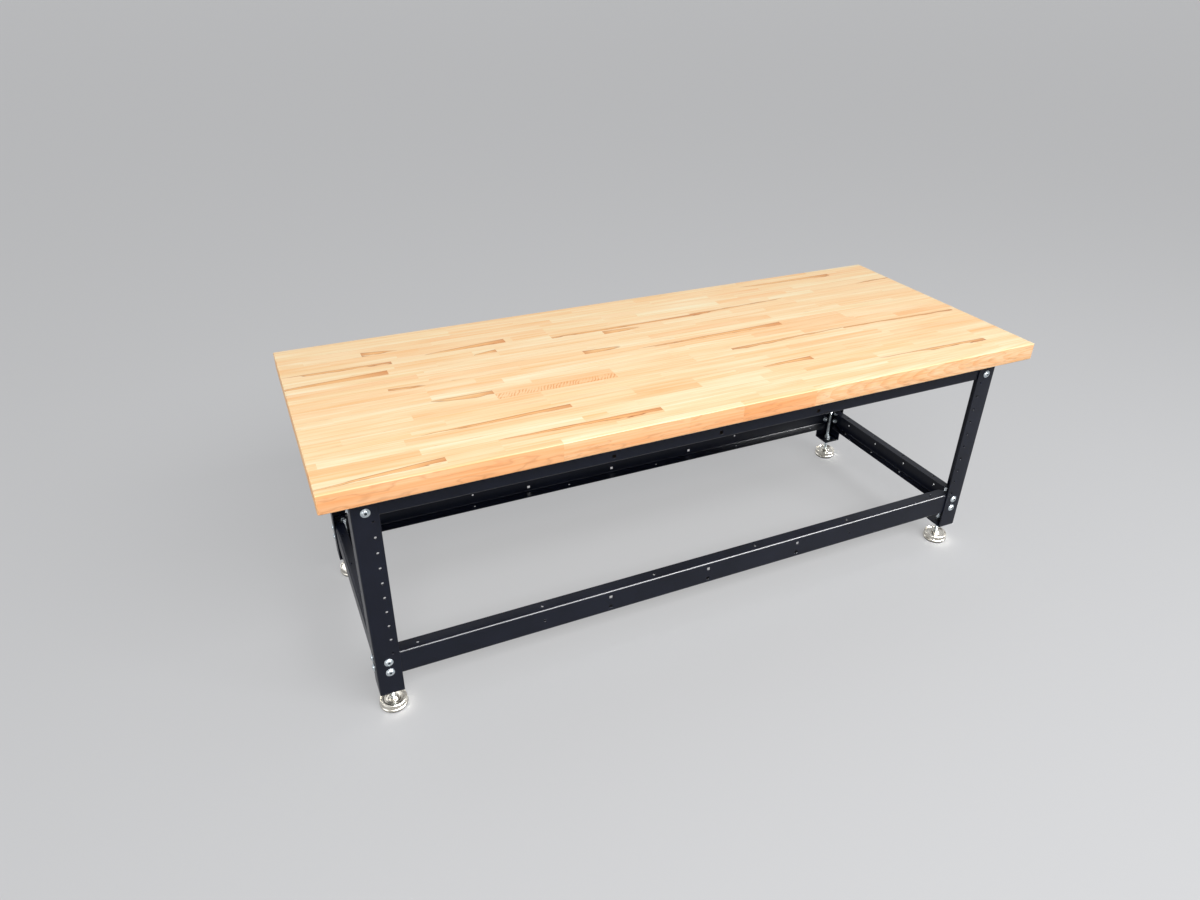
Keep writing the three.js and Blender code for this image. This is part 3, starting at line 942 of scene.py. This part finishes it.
made_channels = {}
for side in SIDES:
    is_long = side in ("front", "back")
    half = ((frame_high - frame_low).x if is_long else (frame_high - frame_low).y) / 2 / MM
    for kind, bolts in BOLTS_OF.items():
        node = kind + "_" + side
        low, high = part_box(node)
        bottom, height = low.z / MM, (high.z - low.z) / MM
        if (kind, is_long) not in made_channels:
            shape = channel_shape(is_long, half, height, bottom, bolts, kind == "lower_stringer")
            made_channels[kind, is_long] = finish_mesh(node, shape, powder_coat)
        mesh = made_channels[kind, is_long].copy()
        piece = show("bent_" + node, mesh, "frame", side_matrix(side, bottom), node)
        soften(piece, EDGE_BREAK)
print("channel kinds:", len(made_channels))

# %% [markdown]
# ## Foot plates
# A square of plate is welded into the bottom of each leg and tapped for the foot's stud. The corner
# that sits in the bend of the leg is clipped to clear it, and the opposite corner is rounded.

# %% Make the plates
STUD_FROM_CORNER = 30.5
STUD_HOLE = 10.4
PLATE_NEAR = 3.3
PLATE_ROUND = 5
PLATE_CLIP = 3
PLATE_BREAK = 0.4
DRILL_LOW = 0
DRILL_HIGH = 200
ROUND_HOLE_SIDES = 32

plate_low, plate_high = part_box("foot_plate_front_left")


def plate_shape():
    near, far, cut = PLATE_NEAR, LEG_FACE, PLATE_ROUND
    outline = [(near + PLATE_CLIP, near), (far, near)]
    outline += arc_points((far - cut, far - cut), cut, 0, 90)
    outline += [(near, far), (near, near + PLATE_CLIP)]
    body = pull_profile(outline, plate_low.z / MM, plate_high.z / MM, "z")
    tools = bmesh.new()
    hole = circle((STUD_FROM_CORNER, STUD_FROM_CORNER), STUD_HOLE, ROUND_HOLE_SIDES)
    add_prism(tools, hole, "z", DRILL_LOW, DRILL_HIGH)
    return combine(body, tools, "DIFFERENCE")


plate_mesh = finish_mesh("foot_plate", plate_shape(), powder_coat)
for corner in CORNERS:
    node = "foot_plate_" + corner
    piece = show("welded_" + node, plate_mesh.copy(), "frame", corner_matrix(corner), node)
    soften(piece, PLATE_BREAK)
print("plate faces:", len(plate_mesh.polygons))

# %% [markdown]
# ## Turned and threaded pieces
# Anything round is spun from its half outline. A thread is a spun grid whose radius rises and falls
# with height and angle together, so its ridge climbs one pitch in each turn, as a real screw's does.
# Blender's Screw modifier could do this too, but a grid made in code closes exactly at both ends.

# %% Lathe
ON_AXIS = 1e-6
LATHE_STEPS = 64


def spin(outline, steps=LATHE_STEPS):
    shape = bmesh.new()
    rows = []
    for r, z in outline:
        if r < ON_AXIS:
            rows.append([shape.verts.new((0, 0, z * MM))])
            continue
        turn = [2 * math.pi * k / steps for k in range(steps)]
        rows.append([shape.verts.new((r * MM * math.cos(a), r * MM * math.sin(a), z * MM)) for a in turn])
    for low, high in zip(rows, rows[1:]):
        for k in range(steps):
            n = (k + 1) % steps
            corners = [low[k % len(low)], low[n % len(low)], high[n % len(high)], high[k % len(high)]]
            kept = [c for i, c in enumerate(corners) if c not in corners[:i]]
            if len(kept) > 2:
                shape.faces.new(kept)
    bmesh.ops.recalc_face_normals(shape, faces=shape.faces)
    return shape


print("lathe steps:", LATHE_STEPS)

# %% Thread
THREAD_DEPTH = 0.55
ROWS_PER_PITCH = 4


def threaded_rod(radius, pitch, low, high, steps=24, plain=()):
    depth = THREAD_DEPTH * pitch
    shape = bmesh.new()
    count = max(2, round((high - low) / (pitch / ROWS_PER_PITCH)))
    rows = []
    for i in range(count + 1):
        z = low + (high - low) * i / count
        row = []
        for k in range(steps):
            phase = (z / pitch - k / steps) % 1.0
            groove = depth * abs(2 * phase - 1)
            smooth = any(a <= z <= b for a, b in plain)
            taper = min(1.0, (high - z) / pitch) * depth
            r = radius if smooth else radius - groove
            r = min(r, radius - depth + taper)
            angle = 2 * math.pi * k / steps
            row.append(shape.verts.new((r * MM * math.cos(angle), r * MM * math.sin(angle), z * MM)))
        rows.append(row)
    skin_rows(shape, rows)
    shape.faces.new(rows[0])
    shape.faces.new(rows[-1])
    bmesh.ops.recalc_face_normals(shape, faces=shape.faces)
    return shape


print("thread depth in pitches:", THREAD_DEPTH)

# %% [markdown]
# A nut or a key socket is a six-sided prism. The corners of a real nut are turned off at both ends, so
# the prism is cut by a spun shape with two cones.

# %% Hexagon
CHAMFER_DROP = 0.75
CHAMFER_FLAT = 0.96
CHAMFER_CLEAR = 0.1


def hexagon(across_flats, low, high, chamfer=True):
    radius = across_flats / math.sqrt(3)
    shape = bmesh.new()
    turn = [math.pi / 3 * k for k in range(6)]
    add_prism(shape, [(radius * math.cos(a), radius * math.sin(a)) for a in turn], "z", low, high)
    if not chamfer:
        return shape
    drop = (radius - across_flats / 2) * CHAMFER_DROP
    flat, wide = across_flats / 2 * CHAMFER_FLAT, radius + CHAMFER_CLEAR
    cone = [(0, low), (flat, low), (wide, low + drop), (wide, high - drop), (flat, high), (0, high)]
    return combine(shape, spin(cone), "INTERSECT")


print("chamfer in corner heights:", CHAMFER_DROP)

# %% [markdown]
# ## Button-head bolts and their nuts
# Each joint is closed by a low, domed bolt with a flange forged under its head and a hex socket for
# the key, and a flange nut inside. The bolt points along Z here and is then turned to point into the
# leg. One solid is made by boolean union, so the mesh is clean inside. The second bolt at the top of
# each leg face sits high under the overhang.

# %% Make the bolts
BOLT_SHANK = 8
BOLT_PITCH = 1.25
BOLT_START = -1.2
BOLT_END = 16
NUT_ACROSS = 13
NUT_HEIGHT = 6.2
SOCKET_ACROSS = 6
SOCKET_TOOL = -7
SOCKET_FACE = -4.5
SOCKET_FLOOR = -1.5
SOCKET_REACH = SOCKET_ACROSS * 0.55
GAP = 0.3
NUT_START = WEB_FACE + CHANNEL_SHEET + GAP
HEAD_OUTLINE = [
    (0, -0.3), (9.7, -0.3), (10.1, -0.6), (10.2, -1.0), (10.0, -1.4), (9.5, -1.65), (7.7, -1.9), (7.35, -2.2),
    (7.1, -2.8), (6.6, -3.5), (5.8, -4.1), (4.9, -4.5), (4.0, -4.7), (3.6, -4.6), (0, -4.6),
]
COLLAR_OUTLINE = [(0, 0), (8.6, 0), (8.7, 0.7), (7, 1.6), (0, 1.6)]


def bolt_shape():
    socket = hexagon(SOCKET_ACROSS, SOCKET_TOOL, SOCKET_FLOOR, chamfer=False)
    head = combine(spin(HEAD_OUTLINE, steps=48), socket, "DIFFERENCE")
    bolt = combine(head, threaded_rod(BOLT_SHANK / 2, BOLT_PITCH, BOLT_START, BOLT_END), "UNION")
    nut = hexagon(NUT_ACROSS, NUT_START, NUT_START + NUT_HEIGHT)
    collar = [(r, NUT_START + z) for r, z in COLLAR_OUTLINE]
    nut = combine(nut, spin(collar, steps=48), "UNION")
    return combine(bolt, nut, "UNION")


bolt_mesh = finish_mesh("flange_bolt", bolt_shape(), zinc, smooth_deg=25)
bolt_mesh.materials.append(dull_zinc_and_painted_shade)
# Faces inside the key socket take the dark material: dull plating with painted shade
for face in bolt_mesh.polygons:
    in_socket = SOCKET_FACE < face.center.z / MM < SOCKET_FLOOR + GAP
    if in_socket and face.center.xy.length / MM < SOCKET_REACH:
        face.material_index = 1
print("bolt faces:", len(bolt_mesh.polygons))

# %% Put the bolts in
TURN_SEED = 5

dice = random.Random(TURN_SEED)
point_in = Matrix.Rotation(-math.pi / 2, 4, "X")
for corner in CORNERS:
    for face in "ab":
        for place_name, z in (*BOLT_HEIGHTS.items(), ("hidden", HIDDEN_BOLT)):
            name = f"bolt_{corner}_{face}_{place_name}"
            spin_turn = Matrix.Rotation(dice.uniform(0, math.pi / 3), 4, "Z")
            spot = (BOLT_FROM_CORNER, 0, z) if face == "a" else (0, BOLT_FROM_CORNER, z)
            to_face = Matrix.Identity(4) if face == "a" else Matrix.Rotation(-math.pi / 2, 4, "Z")
            local = Matrix.Translation(Vector(spot) * MM) @ to_face @ point_in @ spin_turn
            matrix = corner_matrix(corner) @ local
            node = None if place_name == "hidden" else name
            show("flange_" + name, bolt_mesh.copy(), "frame", matrix, node)
print("bolts on each leg:", 2 * (len(BOLT_HEIGHTS) + 1))

# %% [markdown]
# ## Screw feet
# A foot is a turned base with a hub, a rubber disc under it, and a long threaded stud that runs up
# through the tapped plate, locked by a jam nut. Each is built around its own axis.

# %% Stud and nut shapes
STUD_RADIUS = 5
STUD_PITCH = 1.5
STUD_LOW = 16.3
STUD_HIGH = 178
FLATS = 8
FLATS_LOW = 33.5
FLATS_HIGH = 42.5
PLAIN_ABOVE_FLATS = 3
SLOT_WIDTH = 1.8
SLOT_DEPTH = 3
SLOT_CLEAR = 2
CUT_REACH = 8
JAM_ACROSS = 16


def stud_shape():
    plain = ((STUD_LOW, FLATS_HIGH + PLAIN_ABOVE_FLATS),)
    rod = threaded_rod(STUD_RADIUS, STUD_PITCH, STUD_LOW, STUD_HIGH, plain=plain)
    cuts = bmesh.new()
    for side in (-1, 1):
        near, far = side * FLATS / 2, side * CUT_REACH
        box = [(near, -CUT_REACH), (far, -CUT_REACH), (far, CUT_REACH), (near, CUT_REACH)]
        add_prism(cuts, box, "z", FLATS_LOW, FLATS_HIGH)
    slot = rectangle((0, 0), SLOT_WIDTH, 2 * CUT_REACH)
    add_prism(cuts, slot, "z", STUD_HIGH - SLOT_DEPTH, STUD_HIGH + SLOT_CLEAR)
    return combine(rod, cuts, "DIFFERENCE")


def jam_nut_shape():
    low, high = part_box("foot_nut_front_left")
    nut = hexagon(JAM_ACROSS, low.z / MM, high.z / MM)
    hole = bmesh.new()
    outline = circle((0, 0), STUD_HOLE, ROUND_HOLE_SIDES)
    add_prism(hole, outline, "z", low.z / MM - PUNCH_REACH, high.z / MM + PUNCH_REACH)
    return combine(nut, hole, "DIFFERENCE")


print("stud mm:", STUD_LOW, "to", STUD_HIGH)

# %% Make the feet
BASE_OUTLINE = [
    (0, 3.5), (30.4, 3.5), (31.8, 3.7), (32.7, 4.4), (33, 5.4), (33, 8.4), (32.7, 9.3), (31.9, 9.9),
    (31.4, 10.3), (31.2, 10.8), (31.3, 11.4), (31.6, 12.0), (31.8, 12.8), (31.8, 20.2), (31.5, 21.4),
    (30.8, 22.2), (29.9, 22.4), (29.2, 22.2), (28.6, 21.4), (28.0, 19.8), (27.4, 18.9), (26.4, 18.5),
    (25, 18.4), (14, 19.3), (12.6, 19.6), (11.9, 20.3), (11.6, 21.2), (11.6, 24.2), (11.3, 25.2),
    (10.6, 25.9), (9.6, 26.2), (6.0, 26.2), (5.4, 25.9), (5.2, 25.4), (5.2, 16), (0, 16),
]
PAD_OUTLINE = [
    (0, 0.6), (8, 0.6), (8.6, 0), (14.4, 0), (15, 0.8), (16, 0.8), (16.6, 0), (22, 0), (22.6, 0.8),
    (23.6, 0.8), (24.2, 0), (29.4, 0), (30.2, 0.3), (30.5, 1), (30.5, 3.2), (0, 3.2),
]

base_mesh = finish_mesh("foot_base", spin(BASE_OUTLINE, steps=96), nickel, smooth_deg=40)
pad_mesh = finish_mesh("foot_pad", spin(PAD_OUTLINE, steps=96), rubber, smooth_deg=40)
stud_mesh = finish_mesh("foot_stud", stud_shape(), zinc, smooth_deg=50)
nut_mesh = finish_mesh("jam_nut", jam_nut_shape(), zinc, smooth_deg=25)
print("stud faces:", len(stud_mesh.polygons))

# %% Put the feet in
for corner in CORNERS:
    axis = corner_matrix(corner) @ Matrix.Translation((STUD_FROM_CORNER * MM, STUD_FROM_CORNER * MM, 0))
    foot, stud = corner + "_foot", corner + "_stud"
    for look, node, mesh, body, slot in (
        ("turned_", "foot_base_", base_mesh, foot, "plated"),
        ("ribbed_", "foot_pad_", pad_mesh, foot, "rubber"),
        ("threaded_", "foot_stud_", stud_mesh, stud, "zinc"),
        ("hex_", "foot_nut_", nut_mesh, "frame", "zinc"),
    ):
        show(look + node + corner, mesh.copy(), body, axis, node + corner)
print("feet:", len(CORNERS))

# %% [markdown]
# ## Wood screws
# Pan-head screws go up through the upper rails into the maple. They are seen only from below, with
# a cross recess in each head.

# %% Make the wood screws
SCREW_LONG = [-752, -150.4, 150.4, 752]
SCREW_SHORT = [-200.4, 200.4]
SCREW_OUTLINE = [(0, 0), (3.2, 0), (4.6, 0.5), (5.25, 1.6), (5.25, 2.4), (2.2, 2.4), (2.2, 8), (0, 8)]
SCREW_BELOW_FLANGE = 2.6
RECESS_LENGTH = 5.2
RECESS_WIDTH = 1.1
RECESS_LOW = -1
RECESS_HIGH = 1.5


def screw_shape():
    body = spin(SCREW_OUTLINE, steps=32)
    for size_x, size_y in ((RECESS_LENGTH, RECESS_WIDTH), (RECESS_WIDTH, RECESS_LENGTH)):
        recess = bmesh.new()
        add_prism(recess, rectangle((0, 0), size_x, size_y), "z", RECESS_LOW, RECESS_HIGH)
        body = combine(body, recess, "DIFFERENCE")
    return body


screw_mesh = finish_mesh("pan_head_screw", screw_shape(), zinc)
screw_count = 0
for side in SIDES:
    low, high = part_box("upper_rail_" + side)
    under_flange = high.z / MM - CHANNEL_SHEET - SCREW_BELOW_FLANGE
    is_long = side in ("front", "back")
    from_web = LONG_FROM_WEB if is_long else SHORT_FROM_WEB
    for x in SCREW_LONG if is_long else SCREW_SHORT:
        matrix = side_matrix(side, under_flange) @ Matrix.Translation((x * MM, from_web * MM, 0))
        matrix = matrix @ Matrix.Rotation(dice.uniform(0, math.pi), 4, "Z")
        screw_count += 1
        show(f"wood_screw_{side}_{screw_count}", screw_mesh.copy(), "frame", matrix)
print("wood screws:", screw_count)

# %% [markdown]
# ## Floor
# A plain pale floor runs out past the picture. To the camera, and in mirror-like reflections, it is
# pale grey and glows a little, so that it stays even into the distance. To scattered light it is
# darker, as a workshop floor would be, so little light bounces up under the top. The object's shadow
# still falls on it.

# %% Floor
FLOOR_HALF = 120.0
FLOOR_GLOW = 0.33

bpy.context.scene.view_settings.view_transform = "Standard"
floor_mesh = bpy.data.meshes.new("studio_floor")
corners = [(x, y, 0) for x, y in rectangle((0, 0), 2 * FLOOR_HALF, 2 * FLOOR_HALF)]
floor_mesh.from_pydata(corners, [], [(0, 1, 2, 3)])
floor_material, tree, paint = start_material("pale_studio_floor")
ray = add(tree, "ShaderNodeLightPath")
sight = ray.outputs["Is Camera Ray"]
for kind in ("Is Glossy Ray", "Is Transmission Ray"):
    either = add(tree, "ShaderNodeMath", {0: sight, 1: ray.outputs[kind]}, operation="MAXIMUM")
    sight = either.outputs["Value"]
seen = add(tree, "ShaderNodeMix", {"Factor": sight, "A": linear("#5b5d61"), "B": linear("#8c8d8f")},
           data_type="RGBA")
glow = add(tree, "ShaderNodeMath", {0: sight, 1: FLOOR_GLOW}, operation="MULTIPLY")
connect(tree, paint, {
    "Base Color": seen.outputs["Result"], "Roughness": 0.9, "Emission Color": linear("#ffffff"),
    "Emission Strength": glow.outputs["Value"],
})
floor_mesh.materials.append(floor_material)
floor = bpy.data.objects.new("studio_floor", floor_mesh)
bpy.context.scene.collection.objects.link(floor)
print("floor half size m:", FLOOR_HALF)

# %% [markdown]
# ## Light
# A broad panel in front and a weaker one on the left light the wood. The black steel is shown mostly
# by what it mirrors, so two long lamps overhead draw the bright line along each bend, as ceiling lamps
# do, and a panel behind stands for a pale wall. These three show only in reflections, and the satin
# wood and the floor are left out of their light.

# %% Light
def panel(name, place, aim, size_x, size_y, watts):
    data = bpy.data.lights.new(name, "AREA")
    data.shape = "RECTANGLE"
    data.size = size_x
    data.size_y = size_y
    data.energy = watts
    light = bpy.data.objects.new(name, data)
    bpy.context.scene.collection.objects.link(light)
    light.location = place
    light.rotation_euler = (Vector(aim) - Vector(place)).to_track_quat("-Z", "Y").to_euler()
    return light


def leave_out(name, *pieces):
    group = bpy.data.collections.new(name)
    for number, piece in enumerate(pieces):
        group.objects.link(piece)
        group.collection_objects[number].light_linking.link_state = "EXCLUDE"
    return group


# Place and aim in metres, width and height in metres, watts
panel("front_panel", (0.3, -3.2, 3.2), (0.0, -0.2, 0.5), 5.0, 1.6, 212)
left_panel = panel("left_panel", (-5.0, -1.0, 1.8), (-0.8, 0.0, 0.5), 3.0, 2.0, 72)
left_panel.light_linking.receiver_collection = leave_out("left_out_of_side_light", floor)
only_mirrored = leave_out("left_out_of_mirrored_light", maple_top, floor)
mirrored = [
    panel("left_strip", (0.2, -2.1, 3.0), (-0.2, -0.3, 0.3), 1.9, 1.0, 620),
    panel("right_strip", (2.6, -2.1, 3.0), (2.2, -0.3, 0.3), 2.9, 1.0, 1600),
    panel("back_panel", (-0.8, 4.0, 3.2), (-0.8, 0.0, 0.2), 4.5, 3.0, 85),
]
for light in mirrored:
    light.visible_diffuse = False
    light.light_linking.receiver_collection = only_mirrored
print("lights:", len(bpy.data.lights))

# %% [markdown]
# ## World
# The world is an even room around the table. It is pale to the camera and bright where the steel
# mirrors it. As scattered light it is dimmer, so that the panels shape the object.

# %% World
world = bpy.data.worlds.new("studio_world")
bpy.context.scene.world = world
world.use_nodes = True
tree = world.node_tree
ray = add(tree, "ShaderNodeLightPath")
room = add(tree, "ShaderNodeMix", {
    "Factor": ray.outputs["Is Glossy Ray"], "A": linear("#a4a5a8"), "B": linear("#dcdee2"),
}, data_type="RGBA")
backdrop = add(tree, "ShaderNodeMix", {
    "Factor": ray.outputs["Is Camera Ray"], "A": room.outputs["Result"], "B": linear("#c4c5c7"),
}, data_type="RGBA")
connect(tree, tree.nodes["Background"], {"Color": backdrop.outputs["Result"]})
print("world:", world.name)
